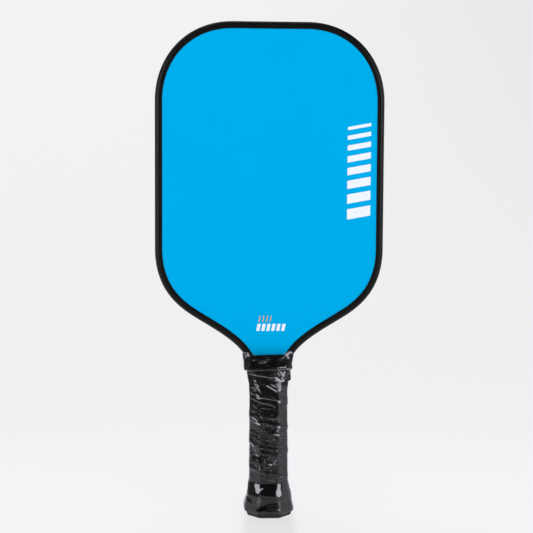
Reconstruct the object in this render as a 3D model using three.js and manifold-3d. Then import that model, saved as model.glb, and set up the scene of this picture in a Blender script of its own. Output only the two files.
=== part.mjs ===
// A pickleball paddle, in millimetres. +Z runs from the butt to the head, X is the width, and the
// front face looks along -Y. The origin is the middle of the butt's flat bottom.
//
// It is built as a real one is: a honeycomb core between bonded face sheets, with printed films on the
// outside and a moulded channel round the edge. The core and its sheets run on down into the handle as
// a tongue, between two moulded halves. A flared cap closes the butt, a cushioned wrap covers the
// handle, tape and a rubber collar hold the wrap's end, and a clear film covers a new paddle's handle.
import * as THREE from "three";
import { mergeVertices } from "three/addons/utils/BufferGeometryUtils.js";
import Module from "manifold-3d";

const wasm = await Module();
wasm.setup();

// Driving dimensions of the head's outline, which is the outside of the edge guard.
const LENGTH = 416;
const HEAD_HALF_WIDTH = 96;
const TOP_FLAT_HALF = 31;
const SIDE_TOP_Z = 350;
const SIDE_BOTTOM_Z = 227;
const SHOULDER = { x: 60.5, z: 168, lean: THREE.MathUtils.degToRad(58.4) };
const NECK = { x: 21.3, z: 138.3, lean: THREE.MathUtils.degToRad(33.8) };
const TONGUE_TOP_Z = 112;
const CURVE_STEPS = 10;

// The panel's layers, as distances from its middle plane.
const CORE_HALF = 6.35;
const BOND_HALF = CORE_HALF + 0.1;
const SHEET_HALF = BOND_HALF + 0.55;
const PRINT_HALF = SHEET_HALF + 0.2;
const TONGUE_HALF_WIDTH = 10;
const TONGUE_END_Z = 6;
const PRINT_END_Z = 126;

// The honeycomb.
const CELL_PITCH = 14;
const CELL_WALL = 0.6;
const CORE_RIM_WALL = 1.2;

// The edge guard: a channel whose lips lap over the printed films.
const GUARD_HALF = 8.1;
const GUARD_WALL = 1.6;
const GUARD_LAP = 6.4;
const GUARD_END_Z = 131;
const PANEL_INSET = GUARD_WALL + 0.2;
const LIP_CLEARANCE = 0.1;

// The handle. A section is an eight-sided outline: half width, half depth, half front flat, half side flat.
const HANDLE_SECTION = { a: 13.8, b: 12.7, ca: 6.6, cb: 5.4 };
const THROAT_SECTION = { a: 17, b: 12.7, ca: 13, cb: 8.6 };
const THROAT_START_Z = 108;
const HANDLE_END_Z = 136.5;
const HANDLE_FOOT_Z = 5;
const FIT_GAP = 0.3;
const SPLIT_GAP = 0.15;

// The butt cap.
const CAP_RIM_Z = 4;
const CAP_TOP_Z = 31;
// The rounded edge round the cap's bottom, as heights and how far each is inside the rim.
const CAP_EDGE = [
  [0, -2.8],
  [0.4, -1.5],
  [1.3, -0.6],
  [2.8, 0],
];
const CAP_SOCKET = -1.1;
const CAP_RECESS_RADIUS = 9;
const CAP_RECESS_DEPTH = 1.4;
// How far the cap's skirt stands out from the bare handle's section, from its rim to its top.
const SKIRT = [
  [4.3, 3.4],
  [8.5, 4.05],
  [14.4, 3.25],
  [18.6, 2.7],
  [22.8, 1.75],
  [26.2, 1.4],
  [28.7, 0.65],
  [CAP_TOP_Z, 0.15],
  [36, 0],
];

// The wrap, tape, collar and film.
const WRAP_THICKNESS = 1.8;
const WRAP_OUTSIDE = FIT_GAP + WRAP_THICKNESS;
const WRAP_END_Z = 127.7;
const LAYER_GAP = 0.1;
const TAPE_THICKNESS = 0.6;
const TAPE_START_Z = 115.7;
const TAPE_END_Z = 127.2;
const FILM_THICKNESS = 0.15;
const FILM_START_Z = 5;
const FILM_END_Z = 137.8;
// The collar's outside and inside, from its lower edge to its upper one.
const COLLAR_OUTSIDE = [
  { z: 125.6, a: 20.2, b: 17.1, ca: 15.8, cb: 9.7 },
  { z: 130.5, a: 20.2, b: 16.3, ca: 15.8, cb: 9.6 },
  { z: 134.5, a: 20.9, b: 15.2, ca: 16, cb: 9.5 },
  { z: 137.2, a: 21.3, b: 14.6, ca: 16.3, cb: 9.5 },
];
const COLLAR_INSIDE = [
  { z: 125.6, a: 19.1, b: 15.8, ca: 14.8, cb: 9 },
  { z: 130.5, a: 19.1, b: 14.9, ca: 14.9, cb: 8.9 },
  { z: 134.5, a: 19.8, b: 13.8, ca: 15, cb: 8.8 },
  { z: 137.2, a: 20.7, b: 13.2, ca: 15.4, cb: 8.8 },
];

// Staples.
const STAPLE_CROWN = 8;
const STAPLE_WIRE = 0.6;
const STAPLE_CLEARANCE = 0.15;

// ---- solids ----

/** A closed geometry as a manifold-3d solid. */
function solidOf(geometry) {
  const bare = geometry.clone();
  bare.deleteAttribute("normal");
  bare.deleteAttribute("uv");
  const merged = mergeVertices(bare, 1e-4);
  return new wasm.Manifold(
    new wasm.Mesh({
      numProp: 3,
      vertProperties: merged.getAttribute("position").array,
      triVerts: new Uint32Array(merged.index.array),
    }),
  );
}

/** A manifold-3d solid as a geometry with flat faces. */
function geometryOf(solid) {
  const mesh = solid.getMesh();
  const geometry = new THREE.BufferGeometry()
    .setAttribute("position", new THREE.BufferAttribute(mesh.vertProperties, 3))
    .setIndex(new THREE.BufferAttribute(mesh.triVerts, 1))
    .toNonIndexed();
  geometry.computeVertexNormals();
  return geometry;
}

/** A geometry from rings of points, each the same number, skinned in order. The first and last ring
    are capped, or joined to each other where the skin is closed on itself, as on a sleeve. Each square
    is split the same way whether its rings run up or down, so nested sleeves keep their gap. */
function skin(rings, joined = false) {
  const count = rings[0].length;
  const vertices = rings.flat();
  const triangles = [];
  const spans = joined ? rings.length : rings.length - 1;
  for (let r = 0; r < spans; r++) {
    const low = r * count;
    const high = ((r + 1) % rings.length) * count;
    const downwards = vertices[high].z < vertices[low].z;
    for (let i = 0; i < count; i++) {
      const j = (i + 1) % count;
      if (downwards) triangles.push(low + i, low + j, high + i, low + j, high + j, high + i);
      else triangles.push(low + i, low + j, high + j, low + i, high + j, high + i);
    }
  }
  if (!joined) {
    const last = (rings.length - 1) * count;
    for (let i = 1; i < count - 1; i++) {
      triangles.push(0, i + 1, i);
      triangles.push(last, last + i, last + i + 1);
    }
  }
  const geometry = new THREE.BufferGeometry().setFromPoints(vertices).setIndex(triangles).toNonIndexed();
  geometry.computeVertexNormals();
  return geometry;
}

/** Shapes drawn in X and Z, made into a plate between two distances along Y. */
function plate(shapes, fromY, toY) {
  return new THREE.ExtrudeGeometry(shapes, { depth: toY - fromY, bevelEnabled: false, curveSegments: 1 })
    .rotateX(Math.PI / 2)
    .translate(0, toY, 0);
}

// ---- outlines of the head and its panel ----

/** A point that lies a distance back along a curve's direction of travel, or on along it. */
function along(x, z, lean, distance) {
  return [x - Math.sin(lean) * distance, z - Math.cos(lean) * distance];
}

/** Right half of the edge guard's outside, from the middle of the head's top to the tongue. */
function rimLine() {
  const s = SHOULDER;
  const n = NECK;
  return new THREE.Path()
    .moveTo(0, LENGTH)
    .lineTo(TOP_FLAT_HALF, LENGTH)
    .bezierCurveTo(TOP_FLAT_HALF + 39.5, LENGTH, HEAD_HALF_WIDTH, SIDE_TOP_Z + 36, HEAD_HALF_WIDTH, SIDE_TOP_Z)
    .lineTo(HEAD_HALF_WIDTH, SIDE_BOTTOM_Z)
    .bezierCurveTo(HEAD_HALF_WIDTH, SIDE_BOTTOM_Z - 36.5, ...along(s.x, s.z, s.lean, -16), s.x, s.z)
    .bezierCurveTo(...along(s.x, s.z, s.lean, 16), ...along(n.x, n.z, n.lean, -14), n.x, n.z)
    .bezierCurveTo(
      ...along(n.x, n.z, n.lean, 8),
      TONGUE_HALF_WIDTH + PANEL_INSET + 0.2,
      TONGUE_TOP_Z + 12,
      TONGUE_HALF_WIDTH + PANEL_INSET,
      TONGUE_TOP_Z,
    )
    .getPoints(CURVE_STEPS);
}

/** The right-hand half line and its inward directions, one for each point. */
function rimWithNormals() {
  const points = rimLine();
  return points.map((point, i) => {
    const before = points[Math.max(i - 1, 0)];
    const after = points[Math.min(i + 1, points.length - 1)];
    const travel = after.clone().sub(before).normalize();
    return { point, inward: new THREE.Vector2(travel.y, -travel.x) };
  });
}

/** Right half of the rim, moved inwards. */
function insetLine(inset) {
  return rimWithNormals().map(({ point, inward }) => point.clone().addScaledVector(inward, inset));
}

/** A half line cut off level at a height, keeping what is above it. */
function cutAbove(points, z) {
  const kept = points.filter((p) => p.y > z);
  const next = points[kept.length];
  if (!next) return kept;
  const last = kept[kept.length - 1];
  const share = (last.y - z) / (last.y - next.y);
  return [...kept, last.clone().lerp(next, share)];
}

/** A half line, closed by its mirror image in X. */
function mirroredShape(half) {
  const left = half
    .filter((p) => p.x > 1e-6)
    .map((p) => new THREE.Vector2(-p.x, p.y))
    .reverse();
  return new THREE.Shape([...half, ...left]);
}

/** The panel's outline with its tongue. grow is how far it stands out from the panel's own edge. */
function panelShape(grow = 0) {
  const half = insetLine(PANEL_INSET - grow);
  return mirroredShape([...half, new THREE.Vector2(TONGUE_HALF_WIDTH + grow, TONGUE_END_Z - grow)]);
}

// ---- the panel ----

/** Hexagonal cells in rows over the whole panel, each with its middle inside the given line. */
function cellShapes(line) {
  const radius = (CELL_PITCH - CELL_WALL) / Math.sqrt(3);
  const rowPitch = (CELL_PITCH * Math.sqrt(3)) / 2;
  const limit = [...line].reverse();
  const widthAt = (z) => {
    const i = limit.findIndex((p) => p.y >= z);
    if (i < 0) return 0;
    if (i === 0) return limit[0].x;
    const [low, high] = [limit[i - 1], limit[i]];
    return low.x + ((high.x - low.x) * (z - low.y)) / (high.y - low.y);
  };
  const cells = [];
  for (let row = 1; row * rowPitch < LENGTH; row++) {
    const z = TONGUE_END_Z + row * rowPitch;
    const shift = row % 2 ? 0 : CELL_PITCH / 2;
    const reach = Math.ceil(HEAD_HALF_WIDTH / CELL_PITCH);
    for (let column = -reach; column <= reach; column++) {
      const x = column * CELL_PITCH + shift;
      if (Math.abs(x) > widthAt(z) - 1 || z > limit[limit.length - 1].y - 2) continue;
      const corners = Array.from({ length: 6 }, (_, k) => {
        const turn = Math.PI / 6 + (k * Math.PI) / 3;
        return new THREE.Vector2(x + radius * Math.cos(turn), z + radius * Math.sin(turn));
      });
      cells.push(new THREE.Shape(corners));
    }
  }
  return cells;
}

/** The core: a slab with an open honeycomb of cells, and a thin wall left round its edge. */
function honeycombCore() {
  const slab = solidOf(plate(panelShape(), -CORE_HALF, CORE_HALF));
  const insideShape = panelShape(-CORE_RIM_WALL);
  const line = [
    ...insetLine(PANEL_INSET + CORE_RIM_WALL),
    new THREE.Vector2(TONGUE_HALF_WIDTH - CORE_RIM_WALL, TONGUE_END_Z + CORE_RIM_WALL),
  ];
  const through = CORE_HALF + 1;
  const cells = solidOf(plate(cellShapes(line), -through, through));
  const inside = solidOf(plate(insideShape, -through, through));
  return geometryOf(slab.subtract(cells.intersect(inside)));
}

/** The printed film over one face. It ends under the handle's upper end. */
function printedFilm(fromY, toY) {
  return plate(mirroredShape(cutAbove(insetLine(PANEL_INSET), PRINT_END_Z)), fromY, toY);
}

// ---- the edge guard ----

/** A profile of (distance inwards, distance along Y) points, swept round the rim from end to end. */
function sweepRim(profile, endZ) {
  const right = rimWithNormals().filter(({ point }) => point.y > endZ);
  const left = right
    .slice(1)
    .reverse()
    .map(({ point, inward }) => ({
      point: new THREE.Vector2(-point.x, point.y),
      inward: new THREE.Vector2(-inward.x, inward.y),
    }));
  return skin(
    [...left, ...right].map(({ point, inward }) =>
      profile.map(([d, y]) => new THREE.Vector3(point.x + inward.x * d, y, point.y + inward.y * d)),
    ),
  );
}

/** The guard's channel: a round back, two thin lips, and an opening that takes the panel's edge. */
function guardProfile() {
  const lipInside = PRINT_HALF + LIP_CLEARANCE;
  const backHalf = 3.5;
  const roundSteps = 4;
  const roundDepth = 3.4;
  const side = (sign) => {
    const arc = Array.from({ length: roundSteps + 1 }, (_, i) => {
      const turn = (i * Math.PI) / 2 / roundSteps;
      return [
        roundDepth * (1 - Math.cos(turn)),
        sign * (backHalf + (GUARD_HALF - backHalf) * Math.sin(turn)),
      ];
    });
    return [
      ...arc,
      [GUARD_LAP - 0.5, sign * (GUARD_HALF - 0.1)],
      [GUARD_LAP, sign * (GUARD_HALF - 0.45)],
      [GUARD_LAP, sign * lipInside],
      [GUARD_WALL, sign * lipInside],
    ];
  };
  return [...side(-1), ...side(1).reverse()];
}

// ---- the handle ----

/** An eight-sided section with every side moved outwards by the same distance. */
function grown({ a, b, ca, cb }, by) {
  const run = Math.hypot(b - cb, a - ca);
  const nx = (b - cb) / run;
  const ny = (a - ca) / run;
  const reach = ca * nx + b * ny + by;
  return { a: a + by, b: b + by, ca: (reach - ny * (b + by)) / nx, cb: (reach - nx * (a + by)) / ny };
}

/** A section as a ring of points at a height, running anticlockwise seen from above. */
function ring({ a, b, ca, cb }, z) {
  const corners = [[a, -cb], [a, cb], [ca, b], [-ca, b], [-a, cb], [-a, -cb], [-ca, -b], [ca, -b]];
  return corners.map(([x, y]) => new THREE.Vector3(x, y, z));
}

/** The bare handle's section at a height. It widens at the throat. */
function sectionAt(z) {
  const share = THREE.MathUtils.clamp((z - THROAT_START_Z) / (HANDLE_END_Z - THROAT_START_Z), 0, 1);
  const mix = (key) => THREE.MathUtils.lerp(HANDLE_SECTION[key], THROAT_SECTION[key], share);
  return { a: mix("a"), b: mix("b"), ca: mix("ca"), cb: mix("cb") };
}

/** A ring round the bare handle, standing out from it by a distance. */
function handleRing(z, by) {
  return ring(grown(sectionAt(z), by), z);
}

/** How far the cap's skirt, or whatever follows it, stands out from the bare handle. */
function skirtAt(z) {
  const i = SKIRT.findIndex(([height]) => height >= z);
  if (i < 0) return 0;
  if (i === 0) return SKIRT[0][1];
  const [[z0, s0], [z1, s1]] = [SKIRT[i - 1], SKIRT[i]];
  return s0 + ((s1 - s0) * (z - z0)) / (z1 - z0);
}

/** A tube with the same thickness all the way, from rings of its inside and its outside. */
function sleeve(heights, insideRing, outsideRing) {
  return skin([...heights.map(outsideRing), ...[...heights].reverse().map(insideRing)], true);
}

/** Both handle halves in one, notched for the panel and the ends of the edge guard. */
function handleBody() {
  const stepDown = CAP_SOCKET - FIT_GAP;
  const body = solidOf(
    skin([
      handleRing(HANDLE_FOOT_Z, stepDown),
      handleRing(CAP_TOP_Z + FIT_GAP, stepDown),
      handleRing(CAP_TOP_Z + FIT_GAP, 0),
      handleRing(THROAT_START_Z, 0),
      handleRing(HANDLE_END_Z, 0),
    ]),
  );
  const clearHalf = SHEET_HALF + FIT_GAP;
  const panelSpace = solidOf(plate(panelShape(FIT_GAP), -clearHalf, clearHalf));
  const wide = GUARD_HALF + FIT_GAP;
  const deep = GUARD_LAP + FIT_GAP;
  const guardSpace = solidOf(
    sweepRim([[-3, -wide], [deep, -wide], [deep, wide], [-3, wide]], GUARD_END_Z - 4),
  );
  return body.subtract(panelSpace).subtract(guardSpace);
}

/** One half of the handle body, in front of the middle plane or behind it. */
function handleHalf(body, sign) {
  const size = 400;
  const box = new THREE.BoxGeometry(size, size, size).translate(0, sign * (size / 2 + SPLIT_GAP), 0);
  return body.intersect(solidOf(box));
}

/** The butt cap: a flared cup with a rim at its foot and a round recess for the badge. */
function buttCap() {
  const base = grown(HANDLE_SECTION, 4.4);
  const cup = solidOf(
    skin([
      ...CAP_EDGE.map(([z, by]) => ring(grown(base, by), z)),
      ring(grown(base, 0.3), CAP_RIM_Z),
      ...SKIRT.filter(([z]) => z <= CAP_TOP_Z).map(([z, by]) => handleRing(z, by)),
      handleRing(CAP_TOP_Z, CAP_SOCKET),
      handleRing(CAP_RIM_Z, CAP_SOCKET),
    ]),
  );
  const recess = new THREE.CylinderGeometry(CAP_RECESS_RADIUS, CAP_RECESS_RADIUS, 2 * CAP_RECESS_DEPTH, 32)
    .rotateX(Math.PI / 2);
  return cup.subtract(solidOf(recess));
}

/** The badge that fills the cap's recess: a plain disc with a slightly domed face, looking down. */
function badge() {
  const radius = CAP_RECESS_RADIUS - FIT_GAP;
  const back = CAP_RECESS_DEPTH - LAYER_GAP;
  const profile = [[0, 0.35], [radius * 0.6, 0.42], [radius - 0.5, 0.6], [radius, 0.8], [radius, back], [0, back]];
  return new THREE.LatheGeometry(profile.map(([r, z]) => new THREE.Vector2(r, z)), 32).rotateX(Math.PI / 2);
}

/** A staple lying in X and Y: its crown along Y at the given X, and its legs running towards -X.
    With a clearance it is the space that the staple needs. */
function staple(crownX, legLength, clearance = 0) {
  const c = clearance;
  const half = STAPLE_CROWN / 2 + c;
  const out = crownX + c;
  const under = crownX - STAPLE_WIRE - c;
  const tip = crownX - legLength - c;
  const leg = STAPLE_CROWN / 2 - STAPLE_WIRE - c;
  const outline = [[tip, leg], [tip, half], [out, half], [out, -half], [tip, -half], [tip, -leg], [under, -leg], [under, leg]];
  const shape = new THREE.Shape(outline.reverse().map(([x, y]) => new THREE.Vector2(x, y)));
  const thick = STAPLE_WIRE + 2 * c;
  return new THREE.ExtrudeGeometry(shape, { depth: thick, bevelEnabled: false }).translate(0, 0, -thick / 2);
}

// ---- the wrap, tape, collar and film ----

/** The cushioned wrap as a plain sleeve over the cap's skirt and the handle. */
function wrapSleeve() {
  const heights = [...SKIRT.map(([z]) => z), THROAT_START_Z, WRAP_END_Z];
  return sleeve(
    heights,
    (z) => handleRing(z, skirtAt(z) + FIT_GAP),
    (z) => handleRing(z, skirtAt(z) + WRAP_OUTSIDE),
  );
}

/** Turns of tape round the wrap's upper end. */
function tapeSleeve() {
  const inside = WRAP_OUTSIDE + LAYER_GAP;
  return sleeve(
    [TAPE_START_Z, TAPE_END_Z],
    (z) => handleRing(z, inside),
    (z) => handleRing(z, inside + TAPE_THICKNESS),
  );
}

/** The rubber collar, which is pulled over the wrap's end and the ends of the edge guard. */
function collarRing() {
  const outside = COLLAR_OUTSIDE.map((s) => ring(s, s.z));
  const inside = COLLAR_INSIDE.map((s) => ring(s, s.z)).reverse();
  return skin([...outside, ...inside], true);
}

/** The clear film, which follows what is under it from the cap's flare to just above the collar. */
function filmSleeve() {
  const overWrap = WRAP_OUTSIDE + LAYER_GAP;
  const overTape = overWrap + TAPE_THICKNESS + LAYER_GAP;
  const collarFoot = COLLAR_OUTSIDE[0];
  const collarTop = COLLAR_OUTSIDE[COLLAR_OUTSIDE.length - 1];
  const ringsAt = (extra) => [
    handleRing(FILM_START_Z, skirtAt(FILM_START_Z) + overWrap + extra),
    ...SKIRT.filter(([z]) => z > FILM_START_Z).map(([z, by]) => handleRing(z, by + overWrap + extra)),
    handleRing(THROAT_START_Z, overWrap + extra),
    handleRing(TAPE_START_Z - FIT_GAP - extra, overWrap + extra),
    handleRing(TAPE_START_Z - FIT_GAP - extra, overTape + extra),
    handleRing(collarFoot.z - FIT_GAP - extra, overTape + extra),
    ring(grown(collarFoot, LAYER_GAP + extra), collarFoot.z - FIT_GAP - extra),
    ...COLLAR_OUTSIDE.map((s) => ring(grown(s, LAYER_GAP + extra), s.z)),
    ring(grown(collarTop, LAYER_GAP + extra), FILM_END_Z),
  ];
  return skin([...ringsAt(FILM_THICKNESS), ...ringsAt(0).reverse()], true);
}

// ---- materials ----

function material(color, roughness, metalness = 0, extra = {}) {
  return new THREE.MeshStandardMaterial({ color, roughness, metalness, ...extra });
}

const MATERIALS = {
  core: material(0xd8dad6, 0.6),
  bond: material(0xc9b98a, 0.5),
  laminate: material(0x2b2d2f, 0.45),
  print: material(0x00aced, 0.5),
  guard: material(0x141517, 0.35),
  handle: material(0x3a3b3d, 0.6),
  cap: material(0x1c1c1e, 0.45),
  badge: material(0x26272a, 0.25),
  steel: material(0xb5b8bb, 0.3, 1),
  wrap: material(0x2f2f31, 0.7),
  tape: material(0x18181a, 0.3),
  rubber: material(0x121214, 0.5),
  film: material(0xe6e8ec, 0.08, 0, { transparent: true, opacity: 0.25 }),
};

// ---- assembly ----

const paddle = new THREE.Group();

function add(name, geometry, look) {
  const mesh = new THREE.Mesh(geometry, MATERIALS[look]);
  mesh.name = name;
  paddle.add(mesh);
}

// Where each staple goes, as a turn about Z and a height, with the outside of its crown and its legs' length.
const STAPLES = {
  cap_staple_right: { turn: 0, z: 24, crownX: 15.4, legs: 3.8 },
  cap_staple_left: { turn: Math.PI, z: 24, crownX: 15.4, legs: 3.8 },
  wrap_staple: { turn: -Math.PI / 2, z: 12, crownX: 17.7, legs: 4.5 },
};

/** A staple, or the space it needs, in its place. */
function placedStaple({ turn, z, crownX, legs }, clearance) {
  return staple(crownX, legs, clearance).rotateZ(turn).translate(0, 0, z);
}

const stapleSpaces = Object.values(STAPLES).map((place) => solidOf(placedStaple(place, STAPLE_CLEARANCE)));
const withoutStaples = (solid) => stapleSpaces.reduce((left, space) => left.subtract(space), solid);

add("honeycomb_core", honeycombCore(), "core");
for (const [side, sign] of [["front", -1], ["back", 1]]) {
  const layer = (inner, outer) => (sign < 0 ? [-outer, -inner] : [inner, outer]);
  add(`${side}_bond_film`, plate(panelShape(), ...layer(CORE_HALF, BOND_HALF)), "bond");
  add(`${side}_face_sheet`, plate(panelShape(), ...layer(BOND_HALF, SHEET_HALF)), "laminate");
  add(`${side}_printed_film`, printedFilm(...layer(SHEET_HALF, PRINT_HALF)), "print");
}
add("edge_guard", sweepRim(guardProfile(), GUARD_END_Z), "guard");

const body = withoutStaples(handleBody());
add("front_handle_half", geometryOf(handleHalf(body, -1)), "handle");
add("back_handle_half", geometryOf(handleHalf(body, 1)), "handle");
add("butt_cap", geometryOf(withoutStaples(buttCap())), "cap");
add("butt_cap_badge", badge(), "badge");
for (const [name, place] of Object.entries(STAPLES)) add(name, placedStaple(place), "steel");

add("grip_wrap", geometryOf(withoutStaples(solidOf(wrapSleeve()))), "wrap");
add("finishing_tape", tapeSleeve(), "tape");
add("grip_collar", collarRing(), "rubber");
add("handle_film", filmSleeve(), "film");

export default paddle;
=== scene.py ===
"""A pickleball paddle: the looks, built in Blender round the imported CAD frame.

Everything is in metres, in the frame's own axes: +Z from the butt to the head, X across the head, and
the front face looking along -Y. Places come from the CAD nodes' boxes.
"""

import math

import bmesh
import bpy
import numpy as np
from mathutils import Matrix, Vector, noise


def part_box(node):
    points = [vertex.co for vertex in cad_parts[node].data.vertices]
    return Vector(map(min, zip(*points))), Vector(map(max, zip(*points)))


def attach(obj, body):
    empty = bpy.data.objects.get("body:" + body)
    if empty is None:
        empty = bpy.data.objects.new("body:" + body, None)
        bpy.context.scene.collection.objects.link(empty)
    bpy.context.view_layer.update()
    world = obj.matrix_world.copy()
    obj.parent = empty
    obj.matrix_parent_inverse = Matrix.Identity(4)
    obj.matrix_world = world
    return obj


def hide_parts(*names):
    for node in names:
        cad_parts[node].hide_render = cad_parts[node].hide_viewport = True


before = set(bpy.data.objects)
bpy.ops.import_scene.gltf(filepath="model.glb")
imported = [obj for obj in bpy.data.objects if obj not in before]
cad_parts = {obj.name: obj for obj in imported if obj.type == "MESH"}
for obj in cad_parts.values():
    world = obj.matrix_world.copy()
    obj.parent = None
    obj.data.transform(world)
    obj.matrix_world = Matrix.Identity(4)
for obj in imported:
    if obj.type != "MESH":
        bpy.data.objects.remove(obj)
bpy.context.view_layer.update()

MM = 0.001
BODY = "root"

# ---- places taken from the frame ----


def low(node):
    """The lowest corner of a CAD node's box."""
    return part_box(node)[0]


def high(node):
    """The highest corner of a CAD node's box."""
    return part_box(node)[1]


HEAD_TOP = high("edge_guard").z
HEAD_HALF_WIDTH = high("edge_guard").x
GUARD_HALF = high("edge_guard").y
GUARD_END = low("edge_guard").z
PRINT_HALF = high("back_printed_film").y
SHEET_HALF = low("back_printed_film").y
PRINT_END = low("back_printed_film").z
COLLAR_FOOT = low("grip_collar").z
COLLAR_TOP = high("grip_collar").z
TAPE_FOOT = low("finishing_tape").z
WRAP_FOOT = low("grip_wrap").z
WRAP_TOP = high("grip_wrap").z
CAP_TOP = high("butt_cap").z
FILM_FOOT = low("handle_film").z
FILM_TOP = high("handle_film").z

# ---- the head's outline, as the frame has it ----

GUARD_WALL = 1.6 * MM
GUARD_LAP = 6.4 * MM
PANEL_INSET = 1.8 * MM
TOP_FLAT_HALF = 31 * MM
SIDE_TOP = 350 * MM
SIDE_BOTTOM = 227 * MM
SHOULDER = (60.5 * MM, 168 * MM)
SHOULDER_LEAN = math.radians(58.4)
NECK = (21.3 * MM, 138.3 * MM)
NECK_LEAN = math.radians(33.8)
TONGUE = (11.8 * MM, 112 * MM)

# ---- the handle's sections, as the frame has them ----
# A section is an eight-sided outline: half width, half depth, half front flat, half side flat.

HANDLE_SECTION = np.array([13.8, 12.7, 6.6, 5.4]) * MM
THROAT_SECTION = np.array([17, 12.7, 13, 8.6]) * MM
THROAT_START = 108 * MM
THROAT_END = 136.5 * MM
WRAP_INSIDE = 0.3 * MM
WRAP_OUTSIDE = 2.1 * MM
TAPE_OUTSIDE = 2.8 * MM
# How far the butt cap's rim stands out from the bare handle.
CAP_REACH = 5.1 * MM

# Tables of heights and distances, in millimetres.
# How far the butt cap's skirt stands out from the bare handle, fuller at its foot than the frame's.
SKIRT = (
    [4.3, 6.5, 9, 14.4, 18.6, 22.8, 26.2, 28.7, 31, 36],
    [4.6, 5.0, 4.5, 3.25, 2.7, 1.85, 1.5, 0.65, 0.15, 0],
)
# How far the wrapped surface lies to the right of the middle, as it was wound by hand.
SWAY = ([4, 8, 12, 16, 20, 23, 27, 33, 60, 95], [0.8, 0.4, 0.35, 1.1, 1, 0.6, 0.4, 0.3, 0.25, 0])
# How far the film stands off the wrap, most at its loose foot.
FILM_SLACK = ([4, 9, 15, 30, 33, 40, 75, 95], [0.5, 0.45, 0.25, 0.25, 0.4, 0.4, 0.3, 0.15])
# How round the wrapped handle's eight corners are: well rounded on the flare.
CORNER_RADIUS = ([4, 10, 15, 25, 31, 40], [5, 7, 10, 10, 5, 3.8])

# The collar's outside, from its foot to its top.
COLLAR_HEIGHTS = np.array([125.6, 130.5, 134.5, 137.2]) * MM
COLLAR_SECTIONS = MM * np.array(
    [[20.2, 17.1, 15.8, 9.7], [20.2, 16.3, 15.8, 9.6], [20.9, 15.2, 16, 9.5], [21.3, 14.6, 16.3, 9.5]]
)
COLLAR_WALL = 1.1 * MM
# The collar is a loose rubber sleeve, and sits a little to the left.
COLLAR_SHIFT = -0.6 * MM

# ---- points and meshes ----


def bezier(start, handle_a, handle_b, end, steps):
    """Points along a cubic curve, without its first one."""
    t = np.linspace(0, 1, steps + 1)[1:, None]
    a, b, c, d = (np.array(p, float) for p in (start, handle_a, handle_b, end))
    return (1 - t) ** 3 * a + 3 * (1 - t) ** 2 * t * b + 3 * (1 - t) * t**2 * c + t**3 * d


def along(point, lean, distance):
    """A point further on, or back if negative, in a direction that leans in from straight down."""
    return (point[0] - math.sin(lean) * distance, point[1] - math.cos(lean) * distance)


def rim_half():
    """Right half of the head's outline in X and Z, from the middle of its top down to the tongue."""
    w, top, steps = HEAD_HALF_WIDTH, HEAD_TOP, 40
    corner, side_top, side_bottom = (TOP_FLAT_HALF, top), (w, SIDE_TOP), (w, SIDE_BOTTOM)
    over_corner = ((TOP_FLAT_HALF + 39.5 * MM, top), (w, SIDE_TOP + 36 * MM))
    to_shoulder = ((w, SIDE_BOTTOM - 36.5 * MM), along(SHOULDER, SHOULDER_LEAN, -16 * MM))
    to_neck = (along(SHOULDER, SHOULDER_LEAN, 16 * MM), along(NECK, NECK_LEAN, -14 * MM))
    to_tongue = (along(NECK, NECK_LEAN, 8 * MM), (TONGUE[0] + 0.2 * MM, TONGUE[1] + 12 * MM))
    line = [
        np.array([[0, top], [TOP_FLAT_HALF * 0.5, top], [TOP_FLAT_HALF, top]]),
        bezier(corner, *over_corner, side_top, steps),
        np.linspace(side_top, side_bottom, steps // 2)[1:],
        bezier(side_bottom, *to_shoulder, SHOULDER, steps),
        bezier(SHOULDER, *to_neck, NECK, steps),
        bezier(NECK, *to_tongue, TONGUE, steps // 2),
    ]
    return np.vstack(line)


def inward_of(line):
    """Unit directions towards the head's middle, for a line that runs clockwise seen from the front."""
    travel = np.gradient(line, axis=0)
    travel /= np.linalg.norm(travel, axis=1)[:, None]
    return np.stack([travel[:, 1], -travel[:, 0]], axis=1)


def mirrored(half):
    """A right half and its mirror image, as one line from the left end over the top to the right end."""
    return np.vstack([half[:0:-1] * [-1, 1], half])


def rim_inset(inset, end):
    """The outline moved inwards, down to its end."""
    half = rim_half()
    moved = half + inward_of(half) * inset
    return mirrored(moved[moved[:, 1] > end])


def new_piece(name, vertices, faces):
    """A smooth-shaded mesh object, cleaned of doubled points and with its faces looking outwards."""
    mesh = bpy.data.meshes.new(name)
    mesh.from_pydata([tuple(v) for v in vertices], [], faces)
    work = bmesh.new()
    work.from_mesh(mesh)
    bmesh.ops.remove_doubles(work, verts=work.verts, dist=0.002 * MM)
    bmesh.ops.dissolve_degenerate(work, edges=work.edges, dist=0.001 * MM)
    bmesh.ops.recalc_face_normals(work, faces=work.faces)
    work.to_mesh(mesh)
    work.free()
    mesh.polygons.foreach_set("use_smooth", [True] * len(mesh.polygons))
    piece = bpy.data.objects.new(name, mesh)
    bpy.context.scene.collection.objects.link(piece)
    return piece


def band_faces(here, there, columns):
    """Faces between two rows of points whose columns go round and meet."""
    here, there = here * columns, there * columns
    pairs = [(c, (c + 1) % columns) for c in range(columns)]
    return [(here + c, here + d, there + d, there + c) for c, d in pairs]


def skin(name, rings, closed_rows=False, caps=False):
    """A piece skinned over rings of points. With closed_rows the last ring meets the first one, and with
    caps the two ends are closed."""
    rings = np.asarray(rings)
    rows, columns = rings.shape[:2]
    faces = []
    for row in range(rows if closed_rows else rows - 1):
        faces += band_faces(row, (row + 1) % rows, columns)
    if caps:
        faces.append(tuple(range(columns)))
        faces.append(tuple(range((rows - 1) * columns, rows * columns)))
    return new_piece(name, rings.reshape(-1, 3), faces)


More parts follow.
